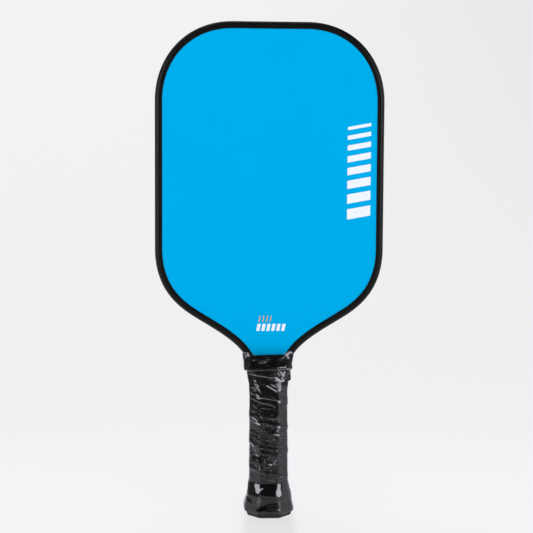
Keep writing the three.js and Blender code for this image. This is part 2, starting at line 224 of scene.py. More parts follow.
def plates(name, outlines, near, far):
    """A piece of flat plates, each with an outline in X and Z, between two places along Y."""
    vertices, faces = [], []
    for outline in outlines:
        base = len(vertices)
        count = len(outline)
        vertices += [(x, y, z) for y in (near, far) for x, z in outline]
        faces.append(tuple(range(base, base + count)))
        faces.append(tuple(range(base + 2 * count - 1, base + count - 1, -1)))
        for i in range(count):
            here, following = base + i, base + (i + 1) % count
            faces.append((here, following, following + count, here + count))
    piece = new_piece(name, vertices, faces)
    piece.data.polygons.foreach_set("use_smooth", [False] * len(piece.data.polygons))
    return piece


# ---- eight-sided rings ----


def grown(section, reach):
    """A section with every side moved outwards by the same distance."""
    a, b, ca, cb = section
    run = math.hypot(b - cb, a - ca)
    nx, ny = (b - cb) / run, (a - ca) / run
    out = ca * nx + b * ny + reach
    return np.array(
        [a + reach, b + reach, (out - ny * (b + reach)) / nx, (out - nx * (a + reach)) / ny]
    )


def corners_of(section):
    a, b, ca, cb = section
    return np.array(
        [[a, -cb], [a, cb], [ca, b], [-ca, b], [-a, cb], [-a, -cb], [-ca, -b], [ca, -b]]
    )


def rounded_ring(section, radius, arc_steps=6, flat_steps=8):
    """Points round a section with rounded corners, and their outward directions. They run
    anticlockwise seen from above, and start and end at the middle of the back."""
    centres = corners_of(grown(section, -radius))
    sides = np.roll(centres, -1, axis=0) - centres
    angles = np.arctan2(-sides[:, 0], sides[:, 1])
    points, normals = [], []
    for i in range(8):
        before, after = angles[i - 1], angles[i]
        turn = (after - before) % (2 * math.pi)
        for step in range(arc_steps + 1):
            angle = before + turn * step / arc_steps
            normal = np.array([math.cos(angle), math.sin(angle)])
            points.append(centres[i] + radius * normal)
            normals.append(normal)
        last = points[-1]
        normal = normals[-1]
        following = centres[(i + 1) % 8] + radius * normal
        for step in range(1, flat_steps):
            points.append(last + (following - last) * step / flat_steps)
            normals.append(normal)
    shift = 3 * (arc_steps + flat_steps) - flat_steps // 2
    return np.roll(points, -shift, axis=0), np.roll(normals, -shift, axis=0)


def section_at(z):
    """The bare handle's section at a height. It widens at the throat."""
    share = min(max((z - THROAT_START) / (THROAT_END - THROAT_START), 0), 1)
    return HANDLE_SECTION + (THROAT_SECTION - HANDLE_SECTION) * share


def looked_up(table, z):
    """The distance that a table gives at a height."""
    heights, distances = np.array(table) * MM
    return np.interp(z, heights, distances)


def skirt_at(z):
    """How far the butt cap's skirt pushes the wrapped surface out, softened as a wrap softens it."""
    blur = 1.1 * MM
    return float(np.mean(looked_up(SKIRT, z + np.linspace(-blur, blur, 7))))


def collar_section(z):
    return np.array([np.interp(z, COLLAR_HEIGHTS, COLLAR_SECTIONS[:, i]) for i in range(4)])


def pulled_up(points, z):
    """How far the collar, and the film over it, ride up on the front and the back, and to the right."""
    bow = 1.7 * MM * smoothstep(np.abs(points[:, 1]), 9 * MM, 15 * MM)
    skew = 0.028 * points[:, 0]
    return (bow + skew) * float(smoothstep(z, COLLAR_FOOT - 5 * MM, COLLAR_FOOT - 1 * MM))


def lift(points, z):
    """Flat points with a height, or one height each."""
    return np.column_stack([points, np.broadcast_to(z, len(points))])


def smoothstep(x, start, end):
    t = np.clip((x - start) / (end - start), 0, 1)
    return t * t * (3 - 2 * t)


# ---- materials ----


class Recipe:
    """A node tree, and the steps that the looks and the surround share."""

    def __init__(self, tree):
        self.tree = tree
        self.nodes = tree.nodes

    def link(self, source, target):
        self.tree.links.new(source, target)

    def put(self, value, socket):
        """Sets a socket to a number, or links another socket to it."""
        if isinstance(value, (int, float)):
            socket.default_value = value
        else:
            self.link(value, socket)

    def split(self, vector):
        """A vector's X, Y and Z."""
        node = self.nodes.new("ShaderNodeSeparateXYZ")
        self.link(vector, node.inputs["Vector"])
        return node.outputs

    def spread(self, source, low_in, high_in, low_out, high_out, smooth=False):
        """A value mapped from one range to another, and kept within it."""
        node = self.nodes.new("ShaderNodeMapRange")
        node.interpolation_type = "SMOOTHSTEP" if smooth else "LINEAR"
        node.inputs["From Min"].default_value = low_in
        node.inputs["From Max"].default_value = high_in
        node.inputs["To Min"].default_value = low_out
        node.inputs["To Max"].default_value = high_out
        self.link(source, node.inputs["Value"])
        return node.outputs["Result"]

    def math(self, operation, *values):
        """One or two values, each a socket or a number, put through a sum."""
        node = self.nodes.new("ShaderNodeMath")
        node.operation = operation
        for value, socket in zip(values, node.inputs):
            self.put(value, socket)
        return node.outputs["Value"]

    def mix(self, share, first, second):
        """A value between two others, each a socket or a number."""
        node = self.nodes.new("ShaderNodeMix")
        self.link(share, node.inputs["Factor"])
        self.put(first, node.inputs["A"])
        self.put(second, node.inputs["B"])
        return node.outputs["Result"]


class Look(Recipe):
    """A Principled material and the few node recipes that the pieces share."""

    def __init__(self, name, color, roughness, metallic=0.0, specular=0.5, coat=0.0):
        self.material = bpy.data.materials.new(name)
        self.material.use_nodes = True
        super().__init__(self.material.node_tree)
        self.shader = next(n for n in self.nodes if n.type == "BSDF_PRINCIPLED")
        self.set("Base Color", (*color, 1))
        self.set("Roughness", roughness)
        self.set("Metallic", metallic)
        self.set("Specular IOR Level", specular)
        self.set("Coat Weight", coat)
        self.set("Coat Roughness", 0.12)
        self.set("IOR", 1.5)
        self.place = self.nodes.new("ShaderNodeTexCoord").outputs["Object"]

    def set(self, socket, value):
        self.shader.inputs[socket].default_value = value

    def stretched(self, scale, turn=0.0):
        """The object's own coordinates, scaled differently along each axis and turned about Y."""
        node = self.nodes.new("ShaderNodeMapping")
        node.inputs["Scale"].default_value = scale
        node.inputs["Rotation"].default_value = (0, turn, 0)
        self.link(self.place, node.inputs["Vector"])
        return node.outputs["Vector"]

    def noise(self, size, detail=3.0, roughness=0.5, place=None, distortion=0.0):
        """Noise whose features are about the given size across, in metres."""
        node = self.nodes.new("ShaderNodeTexNoise")
        node.inputs["Scale"].default_value = 1 / size
        node.inputs["Detail"].default_value = detail
        node.inputs["Roughness"].default_value = roughness
        node.inputs["Distortion"].default_value = distortion
        self.link(place or self.place, node.inputs["Vector"])
        return node.outputs["Fac"]

    def cells(self, size):
        """Distances to the points of a scattered pattern, about the given size apart, in metres."""
        node = self.nodes.new("ShaderNodeTexVoronoi")
        node.inputs["Scale"].default_value = 1 / size
        self.link(self.place, node.inputs["Vector"])
        return node.outputs["Distance"]

    def painted(self, name):
        """A value that the piece's points carry."""
        node = self.nodes.new("ShaderNodeAttribute")
        node.attribute_name = name
        return node.outputs["Fac"]

    def tint(self, source, first, second):
        """Base colour running between two colours."""
        node = self.nodes.new("ShaderNodeMix")
        node.data_type = "RGBA"
        node.inputs[6].default_value = (*first, 1)
        node.inputs[7].default_value = (*second, 1)
        self.link(source, node.inputs["Factor"])
        self.link(node.outputs[2], self.shader.inputs["Base Color"])

    def drive(self, socket, source):
        self.link(source, self.shader.inputs[socket])

    def relief(self, source, depth, strength=1.0):
        """Bump of a depth in metres. A second call adds to the first."""
        node = self.nodes.new("ShaderNodeBump")
        node.inputs["Strength"].default_value = strength
        node.inputs["Distance"].default_value = depth
        self.link(source, node.inputs["Height"])
        before = self.shader.inputs["Normal"]
        if before.is_linked:
            self.link(before.links[0].from_socket, node.inputs["Normal"])
        self.link(node.outputs["Normal"], before)


def print_look():
    """Matte blue print with a fine grit that grips the ball."""
    look = Look("blue_print", (0, 0.36, 0.715), 0.6, specular=0.0)
    look.tint(look.noise(60 * MM, 4), (0, 0.353, 0.705), (0, 0.373, 0.73))
    look.drive("Roughness", look.spread(look.noise(9 * MM, 5), 0.3, 0.7, 0.52, 0.66))
    look.relief(look.noise(0.45 * MM, 2), 0.03 * MM, 0.5)
    look.relief(look.cells(1.1 * MM), 0.02 * MM, 0.3)
    return look.material


def ink_look(name, first, second):
    """Screen-printed ink, very slightly uneven."""
    look = Look(name, first, 0.45, specular=0.3)
    look.tint(look.noise(3 * MM, 4), first, second)
    look.relief(look.noise(0.5 * MM, 2), 0.02 * MM, 0.4)
    return look.material


def moulding_look(name, color, roughness, specular=0.35):
    """Moulded plastic with a fine spark-eroded grain and slight handling marks."""
    look = Look(name, color, roughness, specular=specular)
    look.tint(look.noise(25 * MM, 5), color, tuple(1.35 * c for c in color))
    marks = look.noise(14 * MM, 6, 0.6)
    look.drive("Roughness", look.spread(marks, 0.3, 0.7, roughness - 0.06, roughness + 0.08))
    look.relief(look.noise(0.6 * MM, 3), 0.02 * MM, 0.5)
    return look.material


def rubber_look():
    look = Look("black_rubber", (0.004, 0.004, 0.0042), 0.42, specular=0.06)
    look.tint(look.noise(8 * MM, 5), (0.0025, 0.0025, 0.0027), (0.005, 0.005, 0.0053))
    look.drive("Roughness", look.spread(look.noise(5 * MM, 4), 0.3, 0.7, 0.36, 0.5))
    look.relief(look.noise(0.7 * MM, 3), 0.03 * MM, 0.5)
    return look.material


def tape_look():
    look = Look("vinyl_tape", (0.004, 0.004, 0.0042), 0.35, specular=0.06)
    look.tint(look.noise(6 * MM, 4), (0.0025, 0.0025, 0.0027), (0.005, 0.005, 0.0053))
    fibres = look.noise(0.8 * MM, 3, place=look.stretched((0.15, 0.15, 1)))
    look.relief(fibres, 0.04 * MM, 0.5)
    return look.material


def grip_look():
    """Charcoal synthetic leather: a pebbled grain, paler where the grain stands proud."""
    look = Look("charcoal_grip", (0.004, 0.004, 0.0042), 0.55, specular=0.06)
    grain = look.cells(0.75 * MM)
    look.tint(look.spread(grain, 0.0, 0.7, 0.0, 1.0), (0.005, 0.005, 0.0052), (0.0025, 0.0025, 0.0026))
    look.drive("Roughness", look.spread(look.noise(7 * MM, 4), 0.3, 0.7, 0.45, 0.62))
    look.relief(grain, 0.12 * MM, 0.5)
    look.relief(look.noise(2.2 * MM, 4), 0.12 * MM, 0.4)
    return look.material


def core_look():
    look = Look("honeycomb", (0.8, 0.81, 0.78), 0.55)
    look.set("Subsurface Weight", 0.1)
    look.tint(look.noise(12 * MM, 3), (0.72, 0.73, 0.7), (0.84, 0.85, 0.82))
    look.relief(look.noise(1.5 * MM, 3), 0.05 * MM, 0.5)
    return look.material


def bond_look():
    look = Look("bond_film", (0.55, 0.45, 0.22), 0.35)
    look.tint(look.noise(4 * MM, 4), (0.42, 0.33, 0.14), (0.62, 0.52, 0.28))
    look.relief(look.noise(2 * MM, 3), 0.04 * MM, 0.5)
    return look.material


def laminate_look():
    """Woven fibre laminate: two crossed sets of tows under clear resin."""
    look = Look("fibre_laminate", (0.03, 0.03, 0.032), 0.35, coat=0.6)
    tow = 2 * MM
    waves = []
    for direction in ("X", "Z"):
        wave = look.nodes.new("ShaderNodeTexWave")
        wave.bands_direction = direction
        wave.inputs["Scale"].default_value = 0.314 / tow
        wave.inputs["Distortion"].default_value = 0.4
        look.link(look.place, wave.inputs["Vector"])
        waves.append(wave.outputs["Fac"])
    weave = look.math("GREATER_THAN", waves[0], waves[1])
    look.tint(weave, (0.018, 0.018, 0.02), (0.05, 0.05, 0.054))
    look.relief(look.math("MAXIMUM", *waves), 0.06 * MM, 0.6)
    return look.material


def steel_look():
    look = Look("staple_wire", (0.62, 0.63, 0.65), 0.3, metallic=1.0)
    scratches = look.noise(0.3 * MM, 4, place=look.stretched((0.2, 1, 1)))
    look.drive("Roughness", look.spread(scratches, 0.3, 0.7, 0.22, 0.42))
    look.relief(scratches, 0.01 * MM, 0.5)
    return look.material


def badge_look():
    look = Look("gloss_badge", (0.02, 0.021, 0.024), 0.12, coat=0.5)
    look.tint(look.noise(9 * MM, 3), (0.016, 0.017, 0.02), (0.028, 0.029, 0.033))
    look.drive("Roughness", look.spread(look.noise(3 * MM, 5), 0.3, 0.7, 0.1, 0.22))
    return look.material


def film_look():
    """Clear packing film. It is a thin mirror that mostly lets the handle show through. Where it clings
    to the wrap it is clear and dark, where it stands off it is hazy, and its folds are milky and carry
    painted highlights."""
    look = Look("clear_film", (0.86, 0.86, 0.92), 0.15, metallic=1.0)
    height = look.split(look.place)["Z"]
    milky, loose = look.painted("fold"), look.painted("loose")
    level = look.stretched((0.42, 0.42, 1.0), 0.16)
    creases = look.noise(3.4 * MM, 2, 0.5, place=level, distortion=1.0)
    ridge = look.math("ABSOLUTE", look.math("SUBTRACT", creases, 0.5))
    ridge = look.spread(ridge, 0.0, 0.075, 1.0, 0.0, True)
    patches = look.noise(5 * MM, 2, 0.5, place=level, distortion=0.8)
    patches = look.spread(patches, 0.0, 1.0, 0.08, 0.92)
    slack = look.math("ADD", patches, loose)
    slack = look.math("ADD", slack, look.math("MULTIPLY", ridge, 0.12))
    haze = look.spread(slack, 0.49, 0.52, 0.0, 1.0, True)
    roughness = look.spread(haze, 0, 1, 0.05, 0.19)
    scuffed = look.math("MULTIPLY", haze, look.spread(height, 16 * MM, 18.5 * MM, 0.2, 0, True))
    roughness = look.math("ADD", roughness, scuffed)
    look.drive("Roughness", look.math("ADD", roughness, look.math("MULTIPLY", milky, 0.2)))
    # Milky folds and painted highlights: the table's strokes make the film white and less clear.
    from_folds = look.spread(milky, 0.0, 0.5, 0.0, 0.9)
    from_haze = look.spread(haze, 0, 1, 0.0, 0.17)
    scatter = look.math("MAXIMUM", from_folds, from_haze)
    look.drive("Metallic", look.math("SUBTRACT", 1.0, scatter))
    facing = look.nodes.new("ShaderNodeFresnel")
    facing.inputs["IOR"].default_value = 1.5
    gloss = look.math("MULTIPLY", facing.outputs["Fac"], look.spread(haze, 0, 1, 0.4, 1.9))
    opacity = look.math("ADD", gloss, look.spread(haze, 0, 1, 0.0, 0.012))
    opacity = look.math("ADD", opacity, look.math("MULTIPLY", milky, 0.72))
    look.drive("Alpha", look.math("MINIMUM", opacity, 0.85))
    calm = look.spread(height, 27 * MM, 34 * MM, 0.06, 1.0, True)
    border = look.math("ABSOLUTE", look.math("SUBTRACT", slack, 0.505))
    border = look.spread(border, 0.0, 0.05, 1.0, 0.0, True)
    look.relief(look.math("MULTIPLY", border, calm), 0.12 * MM, 1.0)
    look.relief(look.math("MULTIPLY", ridge, calm), 0.3 * MM, 1.0)
    return look.material


# ---- the head ----


def finish_piece(piece, material, node):
    """Gives a piece its material, and puts it in the place of its CAD node."""
    piece.data.materials.append(material)
    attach(piece, BODY)
    if node:
        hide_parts(node)


def guard_profile():
    """Half of the channel's section, as distances inwards from the rim and out from the middle plane."""
    back_half = 3.5 * MM
    round_depth = 3.6 * MM
    lip_round = 0.5 * MM
    lip_half = GUARD_HALF - 0.12 * MM
    lip_inside = PRINT_HALF + 0.02 * MM
    turns = np.linspace(0, math.pi / 2, 9)
    profile = [(0, 0), (0, back_half * 0.6)]
    for t in turns:
        out = back_half + (GUARD_HALF - back_half) * math.sin(t)
        profile.append((round_depth * (1 - math.cos(t)), out))
    for t in turns[::2]:
        in_from_rim = GUARD_LAP - lip_round * (1 - math.sin(t))
        profile.append((in_from_rim, lip_half - lip_round * (1 - math.cos(t))))
    return profile + [(GUARD_LAP, lip_inside), (GUARD_WALL, lip_inside)]


def edge_guard():
    """The moulded channel round the head, swept along the outline down to the collar."""
    half = rim_half()
    inward = inward_of(half)
    keep = half[:, 1] > GUARD_END
    line = mirrored(half[keep])
    inward = mirrored(inward[keep])
    profile = guard_profile()
    section = profile + [(d, -y) for d, y in profile[:0:-1]]
    rings = []
    for (x, z), (to_x, to_z) in zip(line, inward):
        rings.append([(x + to_x * d, y, z + to_z * d) for d, y in section])
    piece = skin("edge_guard_channel", rings, caps=True)
    look = moulding_look("guard_moulding", (0.0025, 0.0025, 0.0028), 0.36, specular=0.3)
    finish_piece(piece, look, "edge_guard")


def printed_faces():
    """The printed films on the front and the back, whose edges the guard laps."""
    outline = rim_inset(PANEL_INSET, PRINT_END)
    material = print_look()
    for side, sign in (("front", -1), ("back", 1)):
        piece = plates(f"{side}_print", [outline], sign * SHEET_HALF, sign * PRINT_HALF)
        finish_piece(piece, material, f"{side}_printed_film")


def upright_bars(count, left, foot, pitch, width, height, lean):
    """A row of upright bars, as outlines in X and Z, whose tops lean to the right."""
    outlines = []
    for i in range(count):
        x = left + pitch * i
        top = foot + height
        outlines.append([(x, foot), (x + width, foot), (x + width + lean, top), (x + lean, top)])
    return outlines


def stacked_bars(count, left, foot, width, thickest, thinner, gap, slant):
    """A stack of bars across the face, each thinner than the one below, that rise to the right."""
    outlines = []
    right = left + width
    for i in range(count):
        top = foot + thickest - thinner * i
        outlines.append([(left, foot), (right, foot + slant), (right, top + slant), (left, top)])
        foot = top + gap
    return outlines


def printed_bars():
    """Plain slanted bars, one tall stack at the right and two short rows at the throat."""
    near = -(PRINT_HALF + 0.01 * MM)
    far = -(PRINT_HALF + 0.05 * MM)
    white = ink_look("white_ink", (0.74, 0.79, 0.85), (0.8, 0.84, 0.88))
    tan = ink_look("tan_ink", (0.5, 0.27, 0.13), (0.6, 0.35, 0.18))
    sizes = {"width": 19.5 * MM, "thickest": 8.6 * MM, "thinner": 0.85 * MM, "gap": 4.6 * MM}
    stack = stacked_bars(8, 65 * MM, 252 * MM, **sizes, slant=3.6 * MM)
    sizes = {"pitch": 4.2 * MM, "width": 2.6 * MM, "height": 6 * MM, "lean": 1.2 * MM}
    lower = upright_bars(6, -10.8 * MM, 158 * MM, **sizes)
    sizes = {"pitch": 3.1 * MM, "width": 0.9 * MM, "height": 5.4 * MM, "lean": 1.1 * MM}
    upper = upright_bars(4, -9 * MM, 165.6 * MM, **sizes)
    rows = (("side_bars", stack, white), ("throat_bars", lower, white), ("throat_strokes", upper, tan))
    for name, outlines, ink in rows:
        finish_piece(plates(name, outlines, near, far), ink, None)


# ---- the handle ----

WRAP_PITCH = 21 * MM
SEAM_HEIGHT = 0.4 * MM
SEAM_SHIFT = 5 * MM
# Where the rows of points lie within one turn of the wrap, closest at the seam.
NEAR_SEAM_ROWS = [0, 0.012, 0.03, 0.055, 0.09, 0.14, 0.2, 0.27]
FAR_ROWS = [0.35, 0.44, 0.54, 0.64, 0.74, 0.84, 0.92, 0.965, 0.985]
TURN_ROWS = np.array(NEAR_SEAM_ROWS + FAR_ROWS)


def seam_lift(phase):
    """How far the wrap stands up, at a share of a turn above a seam where it laps the turn below."""
    lap = 0.38
    rise = smoothstep(phase, -0.002, 0.022)
    fall = 1 - smoothstep(phase, 0.05, lap)
    groove = -0.25 * smoothstep(phase, 0.93, 0.99)
    return SEAM_HEIGHT * (rise * fall + groove)


def seam_fade(z):
    """The seams die away at the wrap's foot, which is stretched over the flare, and under the tape."""
    return smoothstep(z, WRAP_FOOT + 20 * MM, WRAP_FOOT + 30 * MM) * (
        1 - smoothstep(z, TAPE_FOOT - 1 * MM, TAPE_FOOT + 3 * MM)
    )


def turn_phase(z, share):
    """Where a point is within its turn of the wrap, for a share of the way round from the back."""
    return ((z - SEAM_SHIFT) / WRAP_PITCH + share) % 1.0


def handle_surface(z, reach):
    """A ring round the handle that stands out from it by the given reach, and its outward directions."""
    section = grown(section_at(z), skirt_at(z) + reach)
    radius = looked_up(CORNER_RADIUS, z) + reach - WRAP_OUTSIDE
    points, normals = rounded_ring(section, radius)
    return points + [looked_up(SWAY, z), 0], normals


def grip_wrap():
    """The wound strip: rows of points follow the seams, so that each lap is a clean step."""
    columns = len(handle_surface(WRAP_FOOT, WRAP_OUTSIDE)[0])
    per_turn = len(TURN_ROWS)
    turns = math.ceil((WRAP_TOP - WRAP_FOOT) / WRAP_PITCH) + 2
    column = np.arange(columns)
    shares = column / columns
    heights = np.linspace(WRAP_FOOT, WRAP_TOP, 240)
    surfaces = [handle_surface(z, WRAP_OUTSIDE) for z in heights]
    table = np.array([s[0] for s in surfaces])
    normals = np.array([s[1] for s in surfaces])
    first = SEAM_SHIFT - WRAP_PITCH * math.ceil(SEAM_SHIFT / WRAP_PITCH)
    vertices = []
    for turn in range(turns):
        for phase in TURN_ROWS:
            z = first + (turn + phase) * WRAP_PITCH + (1 - shares) * WRAP_PITCH - WRAP_PITCH
            z = np.clip(z, WRAP_FOOT, WRAP_TOP)
            last = len(heights) - 1
            at = np.clip((z - WRAP_FOOT) / (WRAP_TOP - WRAP_FOOT) * last, 0, last)
            index = np.minimum(at.astype(int), last - 1)
            part = (at - index)[:, None]
            point = table[index, column] * (1 - part) + table[index + 1, column] * part
            out = seam_lift(phase) * seam_fade(z)
            point = point + normals[index, column] * out[:, None]
            vertices.append(lift(point, z))
    rows = len(vertices)
    inner = [
        lift(handle_surface(z, WRAP_INSIDE)[0], z)
        for z in (WRAP_TOP, THROAT_START, 31 * MM, 20 * MM, 9 * MM, WRAP_FOOT)
    ]
    faces = []
    for row in range(rows - 1):
        band = band_faces(row, row + 1, columns)
        # The last column meets the first one of the turn below.
        start, _, _, end = band.pop()
        below = (max(row - per_turn, 0) * columns, max(row + 1 - per_turn, 0) * columns)
        faces += band + [(start, *below, end)]
    ends = [rows - 1] + list(range(rows, rows + len(inner))) + [0]
    for here, there in zip(ends, ends[1:]):
        faces += band_faces(here, there, columns)
    faces = [f for f in faces if len(set(f)) > 2]
    piece = new_piece("wound_grip", np.vstack(vertices + inner), faces)
    finish_piece(piece, grip_look(), "grip_wrap")


def finishing_tape():
    """Turns of tape round the wrap's end: a clear step at the right, drawn down thin at the left."""
    foot = TAPE_FOOT - 6 * MM
    top = COLLAR_FOOT + 1.5 * MM
    rings = []
    for z in np.linspace(foot, top, 44):
        points, normals = handle_surface(z, WRAP_OUTSIDE + 0.03 * MM)
        rings.append(lift(points + normals * last_turn(points, z)[:, None], z))
    for z in np.linspace(top, foot, 8):
        rings.append(lift(handle_surface(z, WRAP_OUTSIDE - 0.05 * MM)[0], z))
    piece = skin("wound_tape", rings, closed_rows=True)
    finish_piece(piece, tape_look(), "finishing_tape")


def collar_ring(z, reach, radius):
    """A ring of the collar that stands out from its outside by the given reach."""
    points, _ = rounded_ring(grown(collar_section(z), reach), radius)
    return lift(points + [COLLAR_SHIFT, 0], z + pulled_up(points, z))


def collar():
    """The rubber collar: rounded edges at its foot and top, and a slight waist."""
    edge = 0.55 * MM
    turns = np.linspace(0, math.pi / 2, 5)
    outside = [(COLLAR_FOOT, -edge)]
    for t in turns:
        outside.append((COLLAR_FOOT + edge * (1 - math.cos(t)), -edge * (1 - math.sin(t))))
    for z in np.linspace(COLLAR_FOOT + edge, COLLAR_TOP - edge, 14)[1:-1]:
        share = (z - COLLAR_FOOT) / (COLLAR_TOP - COLLAR_FOOT)
        outside.append((z, -0.25 * MM * math.sin(math.pi * share)))
    for t in turns:
        outside.append((COLLAR_TOP - edge * (1 - math.sin(t)), -edge * (1 - math.cos(t))))
    rings = [collar_ring(z, reach, 2.4 * MM) for z, reach in outside]
    for z in np.linspace(COLLAR_TOP, COLLAR_FOOT, 8):
        wall = COLLAR_WALL - 0.75 * MM * smoothstep(z, 130 * MM, COLLAR_TOP)
        rings.append(collar_ring(z, -wall, 1.6 * MM))
    piece = skin("rubber_collar", rings, closed_rows=True)
    finish_piece(piece, rubber_look(), "grip_collar")


def cap_rim(reach, z, radius=3 * MM):
    """A ring of the butt cap's rim that stands out from its side by the given reach."""
    base = grown(HANDLE_SECTION, CAP_REACH + reach)
    return lift(rounded_ring(base, radius)[0] + [looked_up(SWAY, 0), 0], z)


def cap_recess(radius, z):
    """A round ring of the recess in the butt cap's bottom."""
    points, _ = rounded_ring(grown(HANDLE_SECTION, CAP_REACH), 3 * MM)
    angles = np.arctan2(points[:, 1], points[:, 0])
    return lift(np.column_stack([np.cos(angles), np.sin(angles)]) * radius, z)


def butt_cap():
    """The cap's rim shows under the wrap. Its skirt is hidden by the wrap, and its floor faces down."""
    edge = 2.4 * MM
    recess = 9 * MM
    depth = 1.4 * MM
    chamfer = 0.25 * MM
    lip = 0.3 * MM
    rings = [cap_recess(recess * 0.5, depth), cap_recess(recess, depth)]
    rings += [cap_recess(recess, chamfer), cap_recess(recess + chamfer, 0)]
    rings.append(cap_rim(-edge - 1.2 * MM, 0, 1.5 * MM))
    for t in np.linspace(0, math.pi / 2, 9):
        rings.append(cap_rim(-edge * (1 - math.sin(t)), edge * (1 - math.cos(t))))
    rings += [cap_rim(lip, 3.2 * MM), cap_rim(lip, 3.8 * MM), cap_rim(0, 4 * MM)]
    for z in np.linspace(4.3 * MM, CAP_TOP, 24):
        rings.append(lift(handle_surface(z, 0)[0], z))
    for z in (CAP_TOP, 4 * MM):
        rings.append(lift(handle_surface(CAP_TOP, -1.1 * MM)[0], z))
    piece = skin("flared_butt_cap", rings, caps=True)
    look = moulding_look("cap_moulding", (0.012, 0.012, 0.013), 0.42)
    finish_piece(piece, look, "butt_cap")


# Seeded, so that the small creases are the same on every run.
noise.seed_set(1)


def crease_field(x, y, z):
    """How far a crease stands up: sharp ridges in patches, that slant down a little to the right."""
    slant = z + 0.16 * x
    warp = noise.noise_vector(Vector((x * 120, y * 120, slant * 170)))
    long = Vector((x * 75, y * 75, slant * 300)) + 0.55 * warp
    ridge = max(0.0, 1 - abs(noise.noise(long)) * 4.5) ** 2
    short = Vector((x * 240 + 7, y * 240, slant * 620)) + 0.6 * warp
    small = max(0.0, 1 - abs(noise.noise(short)) * 3.4) ** 2
    patch = noise.noise(Vector((x * 80 + 9, y * 80, z * 100 - 4))) * 1.7 + 0.55
    patch = min(max(patch, 0.12), 1)
    return (0.85 * ridge + 0.5 * small) * patch


def last_turn(points, z):
    """How thick the wrap's last turn and its tape make the handle: a step at the right, where they also
    bulge, and a taper at the left."""
    step = smoothstep(z, TAPE_FOOT - 0.6 * MM, TAPE_FOOT + 0.5 * MM)
    taper = smoothstep(z, TAPE_FOOT - 7 * MM, TAPE_FOOT + 5 * MM)
    right = smoothstep(points[:, 0], -6 * MM, 4 * MM)
    bulge = 1.1 * MM * step * right * (1 - smoothstep(z, 117 * MM, 124 * MM))
    return (TAPE_OUTSIDE - WRAP_OUTSIDE) * (step * right + taper * (1 - right)) + bulge


def on_collar(z):
    """From 0 on the wrap to 1 on the collar, across the film's bridge between them."""
    return float(smoothstep(z, COLLAR_FOOT - 1.4 * MM, COLLAR_FOOT + 0.2 * MM))


def film_base(z):
    """The film's points at a height, with no creases, and their outward directions. It is tight over the
    wrap and the collar, and bridges the step at the collar's foot."""
    lower = grown(section_at(z), skirt_at(z) + WRAP_OUTSIDE + looked_up(FILM_SLACK, z))
    upper = grown(collar_section(z), 0.2 * MM)
    share = on_collar(z)
    round_below = looked_up(CORNER_RADIUS, z)
    radius = round_below + (2.4 * MM - round_below) * share
    points, normals = rounded_ring(lower + (upper - lower) * share, radius, 12, 12)
    points = points + [looked_up(SWAY, z), 0]
    return points + normals * (last_turn(points, z) * (1 - share))[:, None], normals
